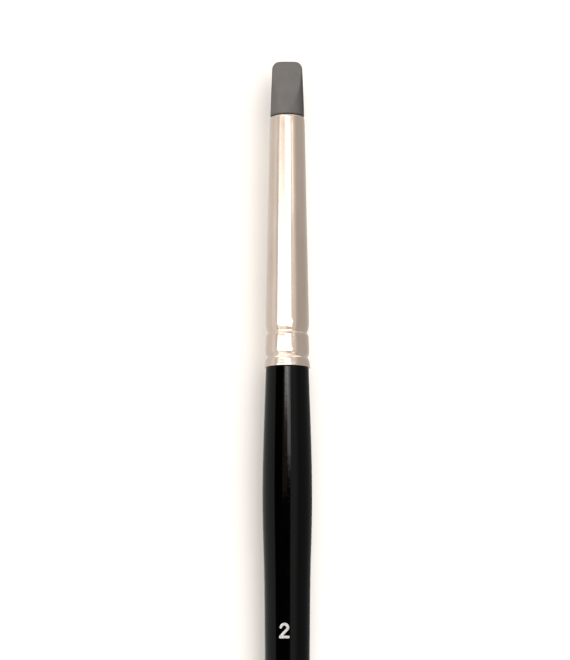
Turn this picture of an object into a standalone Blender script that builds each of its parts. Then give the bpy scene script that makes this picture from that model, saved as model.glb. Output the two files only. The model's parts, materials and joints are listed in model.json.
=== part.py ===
"""Silicone-tipped paint brush, size 2, lying on a table.

A grey silicone chisel tip is held in a tapered nickel-plated ferrule, which is crimped and glued onto a slim
lacquered wooden handle. Every piece but the chisel's two flat faces is turned about the brush's one axis.

Numbers are millimetres in the brush's own terms: s is the distance along the axis behind the end of the tip,
and r is the distance from the axis. A knot is (s, r, slope) on a smooth outline; slope is dr/ds there.
"""

import math

import bmesh
import bpy
from mathutils import Vector

MM = 0.001
SIDES = 24  # flats round each turned piece; a multiple of 4 puts one underneath, where the brush rests
CHORD_ERROR = 0.006  # how far a straight stretch of an outline may lie off the smooth curve
WELD = 1e-7  # metres; joins the copies of a point that turning leaves on the axis

# Driving dimensions
LENGTH = 190.0
TIP_EXPOSED = 8.42  # silicone in front of the ferrule
FERRULE_REAR = 45.06  # where the ferrule's flared rim ends
WALL = 0.22  # of the ferrule's tube
FIT = 0.04  # clearance between the ferrule's bore and what is pushed into it
GLUE_FILM = 0.08
GLUE_FIT = 0.02  # clearance each side of a glue film

# Silicone tip
TIP_END_R = 2.19
TIP_CORNER = 1.2  # radius of the rounded corners at the end
TIP_CROWN = 0.04  # how far the end bulges between its corners
TIP_BASE = (8.12, 2.435)  # widest point, just in front of the ferrule
TIP_SLOPE = 0.035
NECK_FRONT, NECK_REAR, NECK_R = 8.35, 9.1, 2.0
STEM_FRONT, STEM_REAR, STEM_R = 9.6, 17.0, 2.24
CHISEL_HALF_EDGE = 0.22  # half the thickness of the chisel's working edge
CHISEL_LENGTH = 7.1  # where the flat faces run out on the round of the tip

# Ferrule: the outside of the tube, from the rolled lip to the flared rim
LIP_R, LIP_LENGTH = 2.37, 0.40
FERRULE_KNOTS = [
    (TIP_EXPOSED + LIP_LENGTH, 2.49, 0.060),
    (10.6, 2.55, 0.0196),
    (37.9, 3.085, 0.0196),
    (38.7, 3.085, -0.03),
    (39.55, 2.97, -0.22),
    (40.05, 2.815, 0.0),  # bottom of the front crimp
    (40.3, 2.965, 0.35),
    (40.6, 3.045, 0.045),
    (42.6, 3.125, 0.0),  # crown of the band between the crimps
    (43.15, 3.05, -0.30),
    (43.5, 2.889, 0.0),  # bottom of the rear crimp
    (43.85, 3.06, 0.50),
    (44.3, 3.165, 0.13),
    (FERRULE_REAR, 3.26, 0.12),
]

# Handle
TENON_FRONT = 27.5
TENON_CHAMFER = 0.5
FILM_FRONT, FILM_REAR = 28.4, 37.6
SHOULDER = FERRULE_REAR + 0.1
TAIL_ROUNDING = 2.4
TAIL_FLAT_R = 0.8  # the small flat left where the handle was parted off the lathe
TAIL_R = 2.13
HANDLE_KNOTS = [
    (SHOULDER, 3.05, 0.030),
    (63.3, 3.515, 0.0),  # belly
    (77.0, 3.225, -0.0105),
    (LENGTH - TAIL_ROUNDING, TAIL_R, -0.0105),
]

# Epoxy cup behind the tip
CUP_FRONT, CUP_REAR = 13.0, 20.4
CUP_FLOOR = STEM_REAR + 0.05
MENISCUS = 0.5  # depth of the dish in the cup's back face
DISH_R = 2.0
DISH_STEPS = 3


def hermite(start, end, s):
    """Radius of the smooth curve between two knots."""
    length = end[0] - start[0]
    t = (s - start[0]) / length
    rise = end[1] - start[1]
    bow = length * (start[2] * t * (1 - t) ** 2 - end[2] * t * t * (1 - t))
    return start[1] + rise * t * t * (3 - 2 * t) + bow


def radius_at(knots, s):
    """Radius of a smooth outline at one place."""
    for start, end in zip(knots, knots[1:]):
        if s <= end[0]:
            break
    return hermite(start, end, s)


def smooth(knots, error=CHORD_ERROR):
    """The (s, r) points of a smooth outline, with more of them where it bends more."""
    points = [knots[0][:2]]
    for start, end in zip(knots, knots[1:]):
        length = end[0] - start[0]
        chord = (end[1] - start[1]) / length
        bend = abs(chord - start[2]) + abs(end[2] - chord)
        steps = max(1, math.ceil(math.sqrt(length * bend / (8 * error))))
        stations = [start[0] + length * i / steps for i in range(1, steps + 1)]
        points += [(s, hermite(start, end, s)) for s in stations]
    return points


def quarter(centre, along, across, first, last, steps):
    """Points on an elliptical arc, by degrees from the outward direction, positive towards the tail."""
    turns = [math.radians(first + (last - first) * i / steps) for i in range(steps + 1)]
    return [(centre[0] + along * math.sin(a), centre[1] + across * math.cos(a)) for a in turns]


def turned(outline, closed=False):
    """A body turned about the axis. An open outline runs from axis to axis, and a closed one makes a tube."""
    body = bmesh.new()
    first_side = math.pi / SIDES
    corner = MM / math.cos(first_side)  # the flats, not the corners, lie at the outline's radius
    ring = [
        body.verts.new((r * corner * math.cos(first_side), -s * MM, r * corner * math.sin(first_side)))
        for s, r in outline
    ]
    pairs = list(zip(ring, ring[1:]))
    if closed:
        pairs.append((ring[-1], ring[0]))
    edges = [body.edges.new(pair) for pair in pairs]
    profile = ring + edges
    bmesh.ops.spin(
        body, geom=profile, cent=(0, 0, 0), axis=(0, 1, 0), angle=2 * math.pi, steps=SIDES, use_merge=True
    )
    bmesh.ops.remove_doubles(body, verts=body.verts, dist=WELD)
    bmesh.ops.recalc_face_normals(body, faces=body.faces)
    return body


def material(name, colour, roughness, metallic=0.0):
    made = bpy.data.materials.new(name)
    made.use_nodes = True
    shader = made.node_tree.nodes["Principled BSDF"]
    shader.inputs["Base Color"].default_value = (*colour, 1.0)
    shader.inputs["Roughness"].default_value = roughness
    shader.inputs["Metallic"].default_value = metallic
    return made


def add_part(name, body, finish, brush):
    """Makes one named object from a finished body and hangs it on the brush."""
    mesh = bpy.data.meshes.new(name)
    body.to_mesh(mesh)
    body.free()
    mesh.shade_smooth()
    mesh.set_sharp_from_angle(angle=math.radians(30))
    mesh.materials.append(finish)
    part = bpy.data.objects.new(name, mesh)
    bpy.context.scene.collection.objects.link(part)
    part.parent = brush
    return part


def tip_outline():
    """The silicone moulding before the chisel is cut: head, neck under the rolled lip, and stem."""
    corner_centre = (TIP_CORNER, TIP_END_R - TIP_CORNER)
    corner = quarter(corner_centre, TIP_CORNER - TIP_CROWN, TIP_CORNER, -90, 0, 5)
    head = smooth([(TIP_CORNER, TIP_END_R, TIP_SLOPE), (*TIP_BASE, TIP_SLOPE / 2)])
    tuck = quarter((TIP_BASE[0], NECK_R), NECK_FRONT - TIP_BASE[0], TIP_BASE[1] - NECK_R, 0, 90, 4)
    stem = [(NECK_REAR, NECK_R), (STEM_FRONT, STEM_R), (STEM_REAR, STEM_R)]
    return [(0.0, 0.0)] + corner + head[1:] + tuck[1:] + stem + [(STEM_REAR, 0.0)]


def cut_chisel(body):
    """Slices the head along two planes that meet the round of the tip just in front of the ferrule."""
    run_out_r = radius_at([(TIP_CORNER, TIP_END_R, TIP_SLOPE), (*TIP_BASE, TIP_SLOPE / 2)], CHISEL_LENGTH)
    rise = run_out_r - CHISEL_HALF_EDGE
    for side in (1, -1):
        cut = bmesh.ops.bisect_plane(
            body,
            geom=body.verts[:] + body.edges[:] + body.faces[:],
            dist=WELD,
            plane_co=(0, 0, side * CHISEL_HALF_EDGE * MM),
            plane_no=Vector((0, rise, side * CHISEL_LENGTH)).normalized(),
            clear_outer=True,
        )
        rim = [piece for piece in cut["geom_cut"] if isinstance(piece, bmesh.types.BMEdge)]
        bmesh.ops.holes_fill(body, edges=rim, sides=0)
    bmesh.ops.recalc_face_normals(body, faces=body.faces)
    return body


def ferrule_outline():
    """The closed section of the tube: outside from the lip to the rim, and back along the bore."""
    tube_front = FERRULE_KNOTS[0]
    lip = quarter((tube_front[0], LIP_R), LIP_LENGTH, tube_front[1] - LIP_R, -90, 0, 4)
    outside = lip + smooth(FERRULE_KNOTS)[1:]
    bore_lip = [(TIP_EXPOSED + 0.03, NECK_R + FIT), (NECK_REAR - 0.2, NECK_R + FIT)]
    bore = [(s, r - WALL) for s, r in smooth(FERRULE_KNOTS) if s > STEM_FRONT - 0.1]
    throat = (STEM_FRONT - 0.1, radius_at(FERRULE_KNOTS, STEM_FRONT - 0.1) - WALL)
    return outside + bore[::-1] + [throat] + bore_lip[::-1]


def tenon_outline():
    """The tenon fills the bore behind the glue film and is slimmer under it."""
    slim = WALL + 2 * GLUE_FIT + GLUE_FILM
    front = [(s, r - slim) for s, r in smooth(FERRULE_KNOTS) if TENON_FRONT < s < FILM_REAR]
    end_r = radius_at(FERRULE_KNOTS, TENON_FRONT) - slim
    face = [(TENON_FRONT, 0.0), (TENON_FRONT, end_r - TENON_CHAMFER), (TENON_FRONT + TENON_CHAMFER, end_r)]
    step = (FILM_REAR + 0.1, radius_at(FERRULE_KNOTS, FILM_REAR + 0.1) - slim)
    back = [(s, r - WALL - FIT) for s, r in smooth(FERRULE_KNOTS) if s > FILM_REAR + 0.2]
    return face + front + [step] + back


def handle_outline():
    tail_start = HANDLE_KNOTS[-1]
    tail = quarter((tail_start[0], TAIL_FLAT_R), TAIL_ROUNDING, TAIL_R - TAIL_FLAT_R, 0, 90, 6)
    return tenon_outline() + smooth(HANDLE_KNOTS) + tail[1:] + [(LENGTH, 0.0)]


def cup_outline():
    """The epoxy that the stem was pushed into: a sleeve round the stem and a plug behind it."""
    bore = [(s, r - WALL - GLUE_FIT) for s, r in smooth(FERRULE_KNOTS) if CUP_FRONT < s < CUP_REAR]
    sleeve_front = (CUP_FRONT, radius_at(FERRULE_KNOTS, CUP_FRONT) - WALL - GLUE_FIT)
    plug_rim = (CUP_REAR, radius_at(FERRULE_KNOTS, CUP_REAR) - WALL - GLUE_FIT)
    inside = [(CUP_FLOOR, 0.0), (CUP_FLOOR, STEM_R + GLUE_FIT), (CUP_FRONT, STEM_R + GLUE_FIT)]
    dish = quarter((CUP_REAR, 0.0), -MENISCUS, DISH_R, 90, 0, DISH_STEPS)[::-1]
    return inside + [sleeve_front] + bore + [plug_rim] + dish


def film_outline():
    """The glue film round the tenon, as the closed section of a thin sleeve."""
    stations = [FILM_FRONT, (FILM_FRONT + FILM_REAR) / 2, FILM_REAR]
    outside = [(s, radius_at(FERRULE_KNOTS, s) - WALL - GLUE_FIT) for s in stations]
    return outside + [(s, r - GLUE_FILM) for s, r in outside[::-1]]


def resting_tilt():
    """How far the tip rises when the brush lies on its belly and its tail."""
    tail_s, tail_r = HANDLE_KNOTS[-1][:2]
    body = [point for point in smooth(HANDLE_KNOTS) if point[0] < tail_s]
    return math.atan(max((r - tail_r) / (tail_s - s) for s, r in body))


def lay_down(brush, parts):
    """Tilts the brush onto its belly and tail, on the ground, with its box centred over the origin."""
    brush.rotation_euler.x = resting_tilt()
    bpy.context.view_layer.update()
    corners = [part.matrix_world @ vertex.co for part in parts for vertex in part.data.vertices]
    low = Vector([min(corner[axis] for corner in corners) for axis in range(3)])
    high = Vector([max(corner[axis] for corner in corners) for axis in range(3)])
    brush.location = (-(low.x + high.x) / 2, -(low.y + high.y) / 2, -low.z)


def main():
    for leftover in list(bpy.data.objects):
        bpy.data.objects.remove(leftover)
    brush = bpy.data.objects.new("brush", None)
    bpy.context.scene.collection.objects.link(brush)

    silicone = material("silicone", (0.19, 0.18, 0.17), 0.6)
    nickel = material("nickel_plate", (0.74, 0.68, 0.61), 0.25, metallic=1.0)
    lacquer = material("black_lacquer", (0.008, 0.008, 0.008), 0.12)
    epoxy = material("epoxy", (0.62, 0.50, 0.28), 0.3)

    parts = [
        add_part("silicone_tip", cut_chisel(turned(tip_outline())), silicone, brush),
        add_part("ferrule", turned(ferrule_outline(), closed=True), nickel, brush),
        add_part("handle", turned(handle_outline()), lacquer, brush),
        add_part("tip_adhesive", turned(cup_outline()), epoxy, brush),
        add_part("tenon_adhesive", turned(film_outline(), closed=True), epoxy, brush),
    ]
    lay_down(brush, parts)


main()
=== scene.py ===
"""Looks of the silicone-tipped paint brush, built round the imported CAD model.

Numbers are millimetres in the brush's own terms unless a name says otherwise: s is the distance along the
axis behind the end of the tip, and r is the distance from the axis. A knot is (s, r, slope) on a smooth
outline, and the slope is dr/ds there. In the brush's own space +Y runs towards the tip, and the tip ends at
the origin.
"""

import json
import math

import bmesh
import bpy
from mathutils import Matrix, Vector

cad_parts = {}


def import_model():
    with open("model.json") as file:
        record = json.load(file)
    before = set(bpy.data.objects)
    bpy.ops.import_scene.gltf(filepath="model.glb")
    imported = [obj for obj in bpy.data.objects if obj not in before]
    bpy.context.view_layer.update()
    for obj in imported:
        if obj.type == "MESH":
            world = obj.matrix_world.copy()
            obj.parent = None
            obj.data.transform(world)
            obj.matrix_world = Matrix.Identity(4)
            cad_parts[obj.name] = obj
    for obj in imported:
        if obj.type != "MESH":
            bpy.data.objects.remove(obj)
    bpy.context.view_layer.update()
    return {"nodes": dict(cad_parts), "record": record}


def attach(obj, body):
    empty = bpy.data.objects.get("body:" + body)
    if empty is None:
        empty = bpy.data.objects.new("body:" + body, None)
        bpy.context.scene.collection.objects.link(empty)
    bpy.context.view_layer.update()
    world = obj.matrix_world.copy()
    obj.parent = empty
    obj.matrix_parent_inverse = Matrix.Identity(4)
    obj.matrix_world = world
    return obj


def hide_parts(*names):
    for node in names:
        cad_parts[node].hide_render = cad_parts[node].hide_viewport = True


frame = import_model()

MM = 0.001
TINY = 1e-9
SEGMENTS = 192  # round each turned piece
CHORD_ERROR = 0.0004  # how far a straight stretch of an outline may lie off the smooth curve

# The CAD model's dimensions
LENGTH = 190.0
TIP_EXPOSED = 8.42
FERRULE_REAR = 45.06
WALL = 0.22
FIT = 0.04
GLUE = 0.12  # film and clearances between the tenon and the bore

TIP_END_R, TIP_CORNER, TIP_CROWN = 2.19, 1.2, 0.04
TIP_BASE = (8.12, 2.435)
TIP_SLOPE = 0.035
NECK_FRONT, NECK_REAR, NECK_R = 8.35, 9.1, 2.0
STEM_FRONT, STEM_REAR, STEM_R = 9.6, 17.0, 2.24
CHISEL_HALF_EDGE, CHISEL_LENGTH = 0.22, 7.1
HEAD_KNOTS = [(TIP_CORNER, TIP_END_R, TIP_SLOPE), (*TIP_BASE, TIP_SLOPE / 2)]
NOSE_ROUNDING = 0.2  # length over which the working edge is rounded
ARRIS = 26  # sharpness of the edge between a flat face and the round of the tip

LIP_R, LIP_LENGTH = 2.37, 0.40
FERRULE_KNOTS = [
    (TIP_EXPOSED + LIP_LENGTH, 2.49, 0.060),
    (10.6, 2.55, 0.0196),
    (37.9, 3.085, 0.0196),
    (38.7, 3.085, -0.03),
    (39.55, 2.97, -0.22),
    (40.05, 2.815, 0.0),
    (40.3, 2.965, 0.35),
    (40.6, 3.045, 0.045),
    (42.6, 3.125, 0.0),
    (43.15, 3.05, -0.30),
    (43.5, 2.889, 0.0),
    (43.85, 3.06, 0.50),
    (44.3, 3.165, 0.13),
    (FERRULE_REAR, 3.26, 0.12),
]
RIM_ROUNDING = 0.06
CRIMPS = ((40.05, 0.55), (43.5, 0.35))  # place and half-width of the two grooves
CRIMP_WAVES = ((5, 0.4, 0.007), (9, 2.1, 0.006), (14, 4.0, 0.004))  # lobes round, phase, depth

TENON_FRONT, TENON_CHAMFER, FILM_REAR = 27.5, 0.5, 37.6
SHOULDER = FERRULE_REAR + 0.1
TAIL_ROUNDING, TAIL_FLAT_R, TAIL_R = 2.4, 0.8, 2.13
HANDLE_KNOTS = [
    (SHOULDER, 3.05, 0.030),
    (63.3, 3.515, 0.0),
    (77.0, 3.225, -0.0105),
    (LENGTH - TAIL_ROUNDING, TAIL_R, -0.0105),
]

# The printed size numeral
NUMERAL_S = 82.5  # its middle
NUMERAL_TURN = math.radians(8.0)  # round the handle, to the left of the top
STROKE = 0.38
INK_HEIGHT, INK_SINK = 0.014, 0.006
BOW_CENTRE, BOW_R, BOW_SQUASH = (0.02, 0.35), 0.49, 0.92  # the numeral's rounded top
FOOT_LEFT, FOOT_WIDTH = (-0.60, -0.98), 1.18

# Camera and studio, in metres and degrees
CAMERA_DISTANCE = 0.423
CAMERA_ELEVATION = 79.5
CAMERA_LENS = 161.5  # millimetres on the default 36 mm sensor
AIM_S = 39.53
AIM_LEFT = 0.33  # millimetres that the picture's middle lies left of the brush
FLOOR_HALF_WIDTH, FLOOR_DROP = 6.0, 0.00002
WALL_R, WALL_HEIGHT = 5.5, 8.0
BOUNCED = 0.33  # share of the light on the table that comes back from the bright tube and tip
WHITE = (1.0, 1.0, 1.0)
COOL = (0.94, 1.0, 1.06)


def brush_space():
    """The matrix from the brush's own space to the row frame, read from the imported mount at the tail."""
    tail = next(mount for mount in frame["record"]["mounts"] if mount["name"] == "tail_end")
    along = -Vector(tail["axis"]).normalized()
    across = Vector((1.0, 0.0, 0.0))
    up = across.cross(along)
    tip_end = Vector(tail["pos_m"]) + along * LENGTH * MM
    turn = Matrix((across, along, up)).transposed()
    return Matrix.Translation(tip_end) @ turn.to_4x4()


BRUSH = brush_space()


# Outlines


def hermite(start, end, s):
    """Radius of the smooth curve between two knots."""
    length = end[0] - start[0]
    t = (s - start[0]) / length
    rise = end[1] - start[1]
    bow = length * (start[2] * t * (1 - t) ** 2 - end[2] * t * t * (1 - t))
    return start[1] + rise * t * t * (3 - 2 * t) + bow


def radius_at(knots, s):
    for start, end in zip(knots, knots[1:]):
        if s <= end[0]:
            break
    return hermite(start, end, s)


def smooth(knots, longest=1.0):
    """The (s, r) points of a smooth outline, closer together where it bends more."""
    points = [knots[0][:2]]
    for start, end in zip(knots, knots[1:]):
        length = end[0] - start[0]
        chord = (end[1] - start[1]) / length
        bend = abs(chord - start[2]) + abs(end[2] - chord)
        steps = max(2, math.ceil(math.sqrt(length * bend / (8 * CHORD_ERROR))), math.ceil(length / longest))
        stations = [start[0] + length * i / steps for i in range(1, steps + 1)]
        points += [(s, hermite(start, end, s)) for s in stations]
    return points


def quarter(centre, along, across, first, last, steps):
    """Points on an elliptical arc. Angles are in degrees from outward, positive towards the tail."""
    turns = [math.radians(first + (last - first) * i / steps) for i in range(steps + 1)]
    return [(centre[0] + along * math.sin(a), centre[1] + across * math.cos(a)) for a in turns]


def tip_outline():
    corner_centre = (TIP_CORNER, TIP_END_R - TIP_CORNER)
    corner = quarter(corner_centre, TIP_CORNER - TIP_CROWN, TIP_CORNER, -90, 0, 24)
    end_steps = 10
    face = [
        (TIP_CROWN * (i / end_steps) ** 2, corner_centre[1] * i / end_steps) for i in range(end_steps)
    ]
    head = smooth(HEAD_KNOTS, longest=0.12)
    tuck = quarter((TIP_BASE[0], NECK_R), NECK_FRONT - TIP_BASE[0], TIP_BASE[1] - NECK_R, 0, 90, 16)
    stem = [(NECK_REAR, NECK_R), (STEM_FRONT, STEM_R), (STEM_REAR, STEM_R), (STEM_REAR, 0.0)]
    return face + corner + head[1:] + tuck[1:] + stem


def ferrule_outline():
    tube_front = FERRULE_KNOTS[0]
    lip = quarter((tube_front[0], LIP_R), LIP_LENGTH, tube_front[1] - LIP_R, -90, 0, 16)
    outside = lip + [point for point in smooth(FERRULE_KNOTS)[1:] if point[0] < FERRULE_REAR - RIM_ROUNDING]
    rim_r = FERRULE_KNOTS[-1][1]
    rim_centre = (FERRULE_REAR - RIM_ROUNDING, rim_r - RIM_ROUNDING)
    rim = quarter(rim_centre, RIM_ROUNDING, RIM_ROUNDING, 0, 90, 6)
    bore_start = STEM_FRONT - 0.1
    bore = [(s, r - WALL) for s, r in smooth(FERRULE_KNOTS) if s > bore_start]
    throat = (bore_start, radius_at(FERRULE_KNOTS, bore_start) - WALL)
    bore_lip = [(NECK_REAR - 0.2, NECK_R + FIT), (TIP_EXPOSED + 0.03, NECK_R + FIT)]
    return outside + rim + bore[::-1] + [throat] + bore_lip


def tenon_outline():
    slim = WALL + GLUE
    front = [(s, r - slim) for s, r in smooth(FERRULE_KNOTS) if TENON_FRONT < s < FILM_REAR]
    end_r = radius_at(FERRULE_KNOTS, TENON_FRONT) - slim
    face = [(TENON_FRONT, 0.0), (TENON_FRONT, end_r - TENON_CHAMFER), (TENON_FRONT + TENON_CHAMFER, end_r)]
    step = (FILM_REAR + 0.1, radius_at(FERRULE_KNOTS, FILM_REAR + 0.1) - slim)
    back = [(s, r - WALL - FIT) for s, r in smooth(FERRULE_KNOTS) if s > FILM_REAR + 0.2]
    return face + [point for point in front if point[0] > TENON_FRONT + TENON_CHAMFER] + [step] + back


def handle_outline():
    tail_start = HANDLE_KNOTS[-1]
    tail = quarter((tail_start[0], TAIL_FLAT_R), TAIL_ROUNDING, TAIL_R - TAIL_FLAT_R, 0, 90, 24)
    behind_shoulder = SHOULDER + 0.05  # keeps the shading of the shoulder off the rest
    shoulder = [HANDLE_KNOTS[0][:2], (behind_shoulder, radius_at(HANDLE_KNOTS, behind_shoulder))]
    return tenon_outline() + shoulder + smooth(HANDLE_KNOTS)[1:] + tail[1:] + [(LENGTH, 0.0)]


# Shapes that aren't quite round


def chisel(s, r, angle):
    """The silicone head's radius with its two flat faces, which meet the round in a softened edge."""
    if s > TIP_BASE[0]:
        return r
    run_out = radius_at(HEAD_KNOTS, CHISEL_LENGTH)
    edge = CHISEL_HALF_EDGE
    if s < NOSE_ROUNDING:
        edge *= math.sqrt(max(0.0, 1 - (1 - s / NOSE_ROUNDING) ** 2))
    half_thickness = edge + (run_out - CHISEL_HALF_EDGE) * s / CHISEL_LENGTH
    upright = abs(math.sin(angle))
    if r <= 0 or half_thickness <= 0 or upright < 1e-6:
        return r
    flat_r = half_thickness / upright
    return r * (1 + (r / flat_r) ** ARRIS) ** (-1 / ARRIS)


def crimped(s, r, angle):
    """The ferrule's radius, with the slight unevenness that the crimping wheels leave in the grooves."""
    wave = sum(depth * math.sin(lobes * angle + phase) for lobes, phase, depth in CRIMP_WAVES)
    near = sum(math.exp(-(((s - place) / width) ** 2)) for place, width in CRIMPS)
    return r + wave * near


def round_section(s, r, angle):
    return r


# Meshes


def turned(outline, closed=False, section=round_section):
    """A mesh turned about the axis. section gives the radius at an angle round it."""
    body = bmesh.new()
    rings = []
    for s, r in outline:
        if r < TINY:
            rings.append([body.verts.new((0, -s * MM, 0))])
            continue
        ring = []
        for i in range(SEGMENTS):
            angle = 2 * math.pi * i / SEGMENTS
            radius = section(s, r, angle) * MM
            ring.append(body.verts.new((radius * math.cos(angle), -s * MM, radius * math.sin(angle))))
        rings.append(ring)
    pairs = list(zip(rings, rings[1:]))
    if closed:
        pairs.append((rings[-1], rings[0]))
    for ahead, behind in pairs:
        for i in range(SEGMENTS):
            j = (i + 1) % SEGMENTS
            # a ring of one point closes the end with triangles
            front = [ahead[i % len(ahead)], ahead[j % len(ahead)]]
            back = [behind[j % len(behind)], behind[i % len(behind)]]
            body.faces.new(list(dict.fromkeys(front + back)))
    bmesh.ops.recalc_face_normals(body, faces=body.faces)
    return body


def add_piece(name, body, finish, replaced=()):
    """Adds a piece made in the brush's own space, in place of the CAD nodes that it stands for."""
    mesh = bpy.data.meshes.new(name)
    body.to_mesh(mesh)
    body.free()
    mesh.shade_smooth()
    mesh.set_sharp_from_angle(angle=math.radians(35))
    mesh.materials.append(finish)
    mesh.transform(BRUSH)
    piece = bpy.data.objects.new(name, mesh)
    bpy.context.scene.collection.objects.link(piece)
    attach(piece, "root")
    if replaced:
        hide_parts(*replaced)
    return piece


# Size numeral


def stroke_body(body, path, width):
    """A flat, dome-topped ink stroke with round ends, along a path of (x, y) points."""
    across_steps, cap_steps = 10, 6
    half = width / 2
    sections = []
    points = [Vector(point) for point in path]
    first_way = (points[1] - points[0]).normalized()
    last_way = (points[-1] - points[-2]).normalized()
    for i in range(cap_steps):
        turn = math.pi / 2 * (1 - i / cap_steps)
        sections.append((points[0] - first_way * half * math.sin(turn), first_way, half * math.cos(turn)))
    for i, point in enumerate(points):
        way = (points[min(i + 1, len(points) - 1)] - points[max(i - 1, 0)]).normalized()
        sections.append((point, way, half))
    for i in range(1, cap_steps + 1):
        turn = math.pi / 2 * i / cap_steps
        sections.append((points[-1] + last_way * half * math.sin(turn), last_way, half * math.cos(turn)))
    rings = []
    for middle, way, reach in sections:
        side = Vector((-way.y, way.x))
        ring = []
        for j in range(across_steps + 1):
            u = -1 + 2 * j / across_steps
            place = middle + side * reach * u
            edge = max(0.0, 1 - abs(u) ** 6) * min(1.0, (reach / half) * 1.5)
            ring.append((place, INK_HEIGHT * edge ** 0.5))
        ring += [(middle + side * reach * 0.96, -INK_SINK), (middle - side * reach * 0.96, -INK_SINK)]
        rings.append([body.verts.new((place.x, place.y, lift)) for place, lift in ring])
    for ahead, behind in zip(rings, rings[1:]):
        for i in range(len(ahead)):
            j = (i + 1) % len(ahead)
            body.faces.new((ahead[i], ahead[j], behind[j], behind[i]))
    body.faces.new(rings[0][::-1])
    body.faces.new(rings[-1])


def numeral_body():
    """A plain numeral 2, printed round the handle: an arc, a diagonal and a foot."""
    bow_centre, foot_left = Vector(BOW_CENTRE), Vector(FOOT_LEFT)
    turns = [math.radians(degrees) for degrees in range(176, -48, -8)]
    arc = [bow_centre + BOW_R * Vector((math.cos(a), math.sin(a) * BOW_SQUASH)) for a in turns]
    diagonal_steps, foot_steps = 12, 10
    diagonal = [arc[-1].lerp(foot_left, t / diagonal_steps) for t in range(1, diagonal_steps + 1)]
    foot = [
        Vector((FOOT_LEFT[0] + FOOT_WIDTH * t / foot_steps, FOOT_LEFT[1])) for t in range(foot_steps + 1)
    ]
    body = bmesh.new()
    stroke_body(body, arc + diagonal, STROKE)
    stroke_body(body, foot, STROKE)
    bmesh.ops.remove_doubles(body, verts=body.verts, dist=1e-6)
    bmesh.ops.recalc_face_normals(body, faces=body.faces)
    for vertex in body.verts:
        x, y, lift = vertex.co
        s = NUMERAL_S - y
        surface = radius_at(HANDLE_KNOTS, s)
        angle = math.pi / 2 + NUMERAL_TURN - x / surface
        radius = (surface + lift) * MM
        vertex.co = (radius * math.cos(angle), -s * MM, radius * math.sin(angle))
    return body


# Materials


class Shader:
    """A short way to write a Principled material with procedural patterns."""

    def __init__(self, name, colour, roughness, **values):
        self.material = bpy.data.materials.new(name)
        self.material.use_nodes = True
        self.tree = self.material.node_tree
        self.surface = self.tree.nodes["Principled BSDF"]
        self.surface.inputs["Base Color"].default_value = (*colour, 1.0)
        self.surface.inputs["Roughness"].default_value = roughness
        for socket, value in values.items():
            self.surface.inputs[socket.replace("_", " ")].default_value = value
        self.place = self.tree.nodes.new("ShaderNodeTexCoord").outputs["Object"]

    def node(self, kind, **sockets):
        made = self.tree.nodes.new(kind)
        for socket, value in sockets.items():
            entry = made.inputs[socket.replace("_", " ")]
            if isinstance(value, bpy.types.NodeSocket):
                self.tree.links.new(value, entry)
            else:
                entry.default_value = value
        return made

    def stretched(self, across, along):
        """Coordinates for a pattern, in repeats per millimetre across and along the brush."""
        mapping = self.node("ShaderNodeMapping", Vector=self.place)
        mapping.inputs["Scale"].default_value = (across / MM, along / MM, across / MM)
        return mapping.outputs["Vector"]

    def along(self):
        """The place along the brush in metres, from its middle towards its tip."""
        return self.node("ShaderNodeSeparateXYZ", Vector=self.place).outputs["Y"]

    def noise(self, across, along, detail=3.0):
        made = self.node("ShaderNodeTexNoise", Vector=self.stretched(across, along), Scale=1.0, Detail=detail)
        return made.outputs["Fac"]

    def ramp(self, value, low, high, at_low, at_high):
        """A value that goes from at_low to at_high as another goes from low to high."""
        made = self.node("ShaderNodeMapRange", Value=value)
        limits = {"From Min": low, "From Max": high, "To Min": at_low, "To Max": at_high}
        for socket, number in limits.items():
            made.inputs[socket].default_value = number
        return made.outputs["Result"]

    def blend(self, fac, dark, light):
        made = self.node("ShaderNodeMix", Factor=fac)
        made.data_type = "RGBA"
        made.inputs[6].default_value = (*dark, 1.0)
        made.inputs[7].default_value = (*light, 1.0)
        return made.outputs[2]

    def add(self, *values):
        total = values[0]
        for value in values[1:]:
            step = self.node("ShaderNodeMath")
            step.operation = "ADD"
            self.tree.links.new(total, step.inputs[0])
            self.tree.links.new(value, step.inputs[1])
            total = step.outputs[0]
        return total

    def times(self, value, factor):
        step = self.node("ShaderNodeMath")
        step.operation = "MULTIPLY"
        self.tree.links.new(value, step.inputs[0])
        step.inputs[1].default_value = factor
        return step.outputs[0]

    def set(self, socket, value):
        self.tree.links.new(value, self.surface.inputs[socket])

    def bump(self, height, depth):
        """Height from 0 to 1 as relief of the given depth in millimetres."""
        made = self.node("ShaderNodeBump", Height=height, Strength=1.0, Distance=depth * MM)
        self.set("Normal", made.outputs["Normal"])


def silicone():
    look = Shader("silicone_grey", (0.165, 0.155, 0.148), 0.55, Specular_IOR_Level=0.4)
    mottle = look.noise(0.9, 0.6, 4.0)
    patches = look.ramp(mottle, 0.35, 0.65, 0.0, 1.0)
    look.set("Base Color", look.blend(patches, (0.155, 0.146, 0.138), (0.178, 0.165, 0.157)))
    fine = look.noise(14.0, 14.0, 4.0)
    look.set("Roughness", look.ramp(mottle, 0.3, 0.7, 0.5, 0.62))
    look.bump(look.add(look.times(fine, 0.5), look.times(look.noise(1.6, 1.2, 2.0), 0.5)), 0.012)
    return look.material


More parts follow.
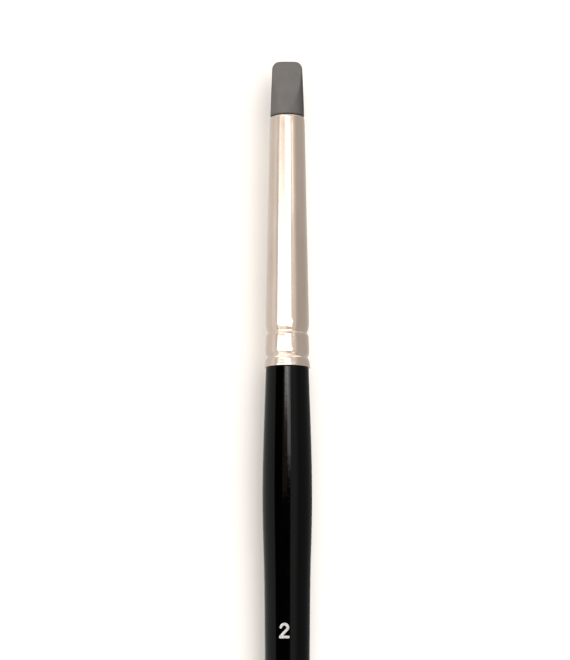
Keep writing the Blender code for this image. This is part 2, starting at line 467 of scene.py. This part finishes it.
def nickel():
    look = Shader("nickel_plate", (0.70, 0.552, 0.447), 0.17, Metallic=1.0)
    cloud = look.noise(0.35, 0.12, 4.0)
    drawn = look.noise(9.0, 0.12, 3.0)
    tint = look.blend(look.ramp(cloud, 0.3, 0.7, 0.0, 1.0), (0.66, 0.530, 0.432), (0.72, 0.595, 0.498))
    look.set("Base Color", tint)
    grain = look.ramp(look.add(look.times(cloud, 0.5), look.times(drawn, 0.5)), 0.3, 0.7, 0.11, 0.15)
    satin = look.ramp(look.along(), 0.070, 0.083, 0.0, 0.05)  # the mouth is duller
    look.set("Roughness", look.add(grain, satin))
    peel = look.noise(2.2, 1.4, 3.0)
    look.bump(look.add(look.times(drawn, 0.35), look.times(peel, 0.65)), 0.006)
    return look.material


def lacquer():
    look = Shader("black_lacquer", (0.003, 0.003, 0.003), 0.08, Specular_IOR_Level=0.3)
    wood_grain = look.noise(1.5, 0.05, 3.0)
    streaks = look.ramp(wood_grain, 0.4, 0.7, 0.0, 1.0)
    look.set("Base Color", look.blend(streaks, (0.0022, 0.0022, 0.0024), (0.0045, 0.0038, 0.0036)))
    look.set("Roughness", look.ramp(look.noise(0.6, 0.3, 4.0), 0.3, 0.7, 0.06, 0.11))
    peel = look.noise(1.6, 2.4, 2.0)
    specks = look.ramp(look.noise(3.2, 3.2, 1.0), 0.72, 0.80, 0.0, 1.0)
    look.bump(look.add(look.times(peel, 0.5), look.times(specks, 0.7)), 0.007)
    return look.material


def ink():
    look = Shader("white_ink", (0.72, 0.71, 0.70), 0.45)
    cover = look.noise(6.0, 6.0, 4.0)
    thick = look.ramp(cover, 0.35, 0.6, 0.0, 1.0)
    look.set("Base Color", look.blend(thick, (0.55, 0.54, 0.53), (0.70, 0.69, 0.68)))
    look.bump(cover, 0.004)
    return look.material


def epoxy():
    look = Shader("epoxy", (0.62, 0.50, 0.28), 0.3)
    cloud = look.noise(0.8, 0.8, 3.0)
    thick = look.ramp(cloud, 0.3, 0.7, 0.0, 1.0)
    look.set("Base Color", look.blend(thick, (0.55, 0.43, 0.22), (0.68, 0.57, 0.34)))
    look.bump(look.noise(3.0, 3.0, 2.0), 0.01)
    return look.material


def paper():
    look = Shader("white_sweep", (0.88, 0.88, 0.88), 0.8, Specular_IOR_Level=0.1)
    fibres = look.noise(0.5, 0.5, 4.0)
    look.set("Base Color", look.blend(fibres, (0.875, 0.875, 0.875), (0.89, 0.888, 0.885)))
    return look.material


# Studio


def wall_white():
    look = Shader("white_wall", (0.0, 0.0, 0.0), 1.0, Emission_Strength=1.0)
    look.surface.inputs["Emission Color"].default_value = (1.0, 1.0, 1.0, 1.0)
    return look.material


def stage_sheet(name, body, finish):
    """Part of the studio, not of the brush. Only the camera sees it."""
    mesh = bpy.data.meshes.new(name)
    body.to_mesh(mesh)
    body.free()
    mesh.materials.append(finish)
    sheet = bpy.data.objects.new(name, mesh)
    sheet.visible_glossy = False
    sheet.visible_diffuse = False
    sheet.visible_shadow = False
    bpy.context.scene.collection.objects.link(sheet)
    return sheet


def floor():
    """A big white sheet, seen under and round the brush."""
    body = bmesh.new()
    bmesh.ops.create_grid(body, x_segments=8, y_segments=8, size=FLOOR_HALF_WIDTH)
    sheet = stage_sheet("floor", body, paper())
    sheet.location.z = -FLOOR_DROP  # clear of the brush's lowest line
    return sheet


def wall():
    """A white wall all round, so that a low view has no horizon."""
    body = bmesh.new()
    bmesh.ops.create_cone(
        body, segments=64, radius1=WALL_R, radius2=WALL_R, depth=WALL_HEIGHT, cap_ends=False
    )
    return stage_sheet("wall", body, wall_white())


def collection_of(name, pieces):
    made = bpy.data.collections.new(name)
    for piece in pieces:
        made.objects.link(piece)
    return made


def place_lamp(lamp, place, turn, only, glossy, diffuse):
    """Puts a lamp in the studio. It doesn't show to the camera, and it lights only the pieces in only."""
    made = bpy.data.objects.new(lamp.name, lamp)
    made.location = place
    made.rotation_mode = "QUATERNION"
    made.rotation_quaternion = turn
    made.visible_camera = False
    made.visible_glossy = glossy
    made.visible_diffuse = diffuse
    bpy.context.scene.collection.objects.link(made)
    made.light_linking.receiver_collection = collection_of(lamp.name + "_lights", only)
    return made


def sun(name, way, spread, brightness, colour, only):
    """Even light from one side. brightness is what a white surface facing it would show."""
    lamp = bpy.data.lights.new(name, "SUN")
    lamp.angle = math.radians(spread)
    lamp.energy = brightness * math.pi
    lamp.color = colour
    return place_lamp(lamp, (0, 0, 1), Vector(way).to_track_quat("-Z", "Y"), only, glossy=False, diffuse=True)


def floor_light(name, way, spread, brightness, colour, sheet, handle):
    """Light on the table. The bright tube and tip bounce some of what they block back onto it."""
    sun(name, way, spread, brightness * (1 - BOUNCED), colour, [sheet])
    rest = sun(name + "_bounced", way, spread, brightness * BOUNCED, colour, [sheet])
    rest.light_linking.blocker_collection = collection_of(name + "_blockers", [handle])


def softbox(name, middle, size, radiance, only, turn=0.0, tilt=0.0, colour=WHITE):
    """A rectangular light that some pieces reflect. It faces down before it is tilted and turned."""
    lamp = bpy.data.lights.new(name, "AREA")
    lamp.shape = "RECTANGLE"
    lamp.size, lamp.size_y = size
    lamp.energy = radiance * math.pi * size[0] * size[1]
    lamp.color = colour
    about = Matrix.Rotation(math.radians(turn), 3, "Z") @ Matrix.Rotation(math.radians(tilt), 3, "Y")
    place_lamp(lamp, middle, about.to_quaternion(), only, glossy=True, diffuse=False)


def lights(tip, tube, handle, numeral, sheet):
    floor_light("floor_key", (-0.70, 0.0, -0.71), 70, 0.30, WHITE, sheet, handle)
    floor_light("floor_fill", (-0.12, 0.0, -0.99), 145, 1.19, (1.0, 0.94, 0.87), sheet, handle)
    sun("soft_left", (0.26, -0.38, -0.89), 45, 1.02, (1.0, 0.98, 0.96), [tip, numeral])
    metal = [tube]
    softbox("metal_over", (0.0, 0.0, 2.9), (6.0, 12.0), 0.39, metal)
    softbox("metal_over_left", (-1.6, 0.0, 2.8), (2.8, 12.0), 0.40, metal)
    softbox("metal_beside_left", (-3.0, 0.0, 0.0), (6.0, 12.0), 0.36, metal, tilt=-90, colour=COOL)
    softbox("metal_upper_left", (-2.95, 0.0, 1.4), (2.8, 12.0), 0.12, metal, tilt=-90)
    softbox("metal_shoulder_left", (-2.9, 0.0, 2.3), (1.3, 12.0), 0.48, metal, tilt=-90)
    softbox("metal_beside_right", (3.0, 0.0, 0.0), (6.0, 12.0), 0.34, metal, tilt=90)
    softbox("metal_left", (-0.208, 0.083, 0.500), (0.90, 0.235), 2.4, metal, turn=-9.4)
    softbox("metal_left_foot", (-0.38, -0.02, 0.488), (0.54, 0.10), 2.0, metal, turn=-3.7)
    softbox("metal_centre_tailward", (-0.25, -0.80, 0.51), (0.8, 1.4), 0.40, metal)
    softbox("metal_centre_tipward", (-0.25, 1.20, 0.51), (0.8, 1.4), 0.40, metal)
    softbox("metal_front", (-0.19, 0.380, 0.504), (0.68, 0.20), 1.4, metal, turn=-8.5)
    softbox("metal_right", (0.045, 0.19, 0.496), (0.25, 0.145), 2.4, metal)
    softbox("metal_soft_edge", (-0.13, 0.22, 0.494), (0.12, 0.12), 0.20, metal)
    softbox("metal_far_right", (0.310, 0.242, 0.492), (0.12, 0.04), 1.6, metal)
    softbox("metal_tip_end", (0.0, 4.0, 0.0), (5.8, 6.0), 0.95, metal, turn=90, tilt=90)
    softbox("metal_tail_end", (0.0, -4.0, 0.0), (5.8, 6.0), 0.95, metal, turn=-90, tilt=90)
    softbox("metal_under", (0.0, 0.0, -2.9), (6.0, 12.0), 0.36, metal, tilt=180)
    softbox("streak", (0.075, 0.145, 0.512), (0.14, 0.05), 3.3, [handle])
    softbox("streak_front", (-0.035, 0.163, 0.516), (0.17, 0.018), 9.0, [handle])
    softbox("streak_glow", (-0.11, 0.140, 0.524), (0.22, 0.11), 0.30, [handle], colour=(1.0, 0.68, 0.52))
    softbox("streak_end", (0.075, 0.1125, 0.520), (0.08, 0.015), 0.8, [handle])


def world():
    """Dim room light: pale low down and at both sides, and dark overhead, where the camera stands."""
    made = bpy.data.worlds.new("studio")
    made.use_nodes = True
    tree = made.node_tree
    direction = tree.nodes.new("ShaderNodeTexCoord").outputs["Generated"]
    split = tree.nodes.new("ShaderNodeSeparateXYZ")
    tree.links.new(direction, split.inputs[0])

    def ramp(value, low, stops):
        """Grey levels at (position, level) stops, for a value from low to 1."""
        spread = tree.nodes.new("ShaderNodeMapRange")
        spread.inputs["From Min"].default_value = low
        tree.links.new(value, spread.inputs["Value"])
        made = tree.nodes.new("ShaderNodeValToRGB")
        band = made.color_ramp
        while len(band.elements) < len(stops):
            band.elements.new(0.5)
        for element, (position, level) in zip(band.elements, stops):
            element.position = (position - low) / (1 - low)
            element.color = (level, level * 0.985, level * 0.96, 1.0)
        tree.links.new(spread.outputs["Result"], made.inputs["Fac"])
        return made.outputs["Color"]

    low_down = ramp(split.outputs["X"], -1.0, ((-1.0, 0.5), (-0.3, 0.45), (0.3, 0.3), (1.0, 0.2)))
    overhead = ((-0.86, 0.0), (0.2, 0.0))
    left, right = ((-1.0, 0.55), (-0.9, 0.5)), ((0.3, 0.52), (0.6, 0.5), (0.85, 0.2), (1.0, 0.18))
    high_up = ramp(split.outputs["X"], -1.0, left + overhead + right)
    height = ramp(split.outputs["Z"], -1.0, ((-1.0, 0.0), (0.3, 0.0), (0.45, 1.0), (1.0, 1.0)))
    blend = tree.nodes.new("ShaderNodeMix")
    blend.data_type = "RGBA"
    tree.links.new(height, blend.inputs["Factor"])
    tree.links.new(low_down, blend.inputs[6])
    tree.links.new(high_up, blend.inputs[7])
    tree.links.new(blend.outputs[2], tree.nodes["Background"].inputs["Color"])
    bpy.context.scene.world = made


def camera():
    """Above the brush, a little towards its tail, as the picture was taken."""
    lens = bpy.data.cameras.new("camera")
    lens.lens = CAMERA_LENS
    lens.clip_start = 0.01
    made = bpy.data.objects.new("camera", lens)
    aim = BRUSH @ (Vector((-AIM_LEFT, -AIM_S, 0.0)) * MM)
    lift = math.radians(CAMERA_ELEVATION)
    back = Vector((0.0, -math.cos(lift), math.sin(lift)))
    made.location = aim + back * CAMERA_DISTANCE
    made.rotation_mode = "QUATERNION"
    made.rotation_quaternion = (-back).to_track_quat("-Z", "Y")
    bpy.context.scene.collection.objects.link(made)
    bpy.context.scene.camera = made


def wear(node, finish):
    """Gives a CAD node that stays a better material."""
    slots = frame["nodes"][node].data.materials
    slots.clear()
    slots.append(finish)


camera()
bpy.context.scene.view_settings.view_transform = "Standard"
world()

tip_body = turned(tip_outline(), section=chisel)
tip = add_piece("silicone_chisel", tip_body, silicone(), ["silicone_tip"])
tube_body = turned(ferrule_outline(), closed=True, section=crimped)
tube = add_piece("ferrule_tube", tube_body, nickel(), ["ferrule"])
handle = add_piece("lacquered_handle", turned(handle_outline()), lacquer(), ["handle"])
numeral = add_piece("size_numeral", numeral_body(), ink())
glue = epoxy()
for node in ("tip_adhesive", "tenon_adhesive"):
    wear(node, glue)
wall()
lights(tip, tube, handle, numeral, floor())
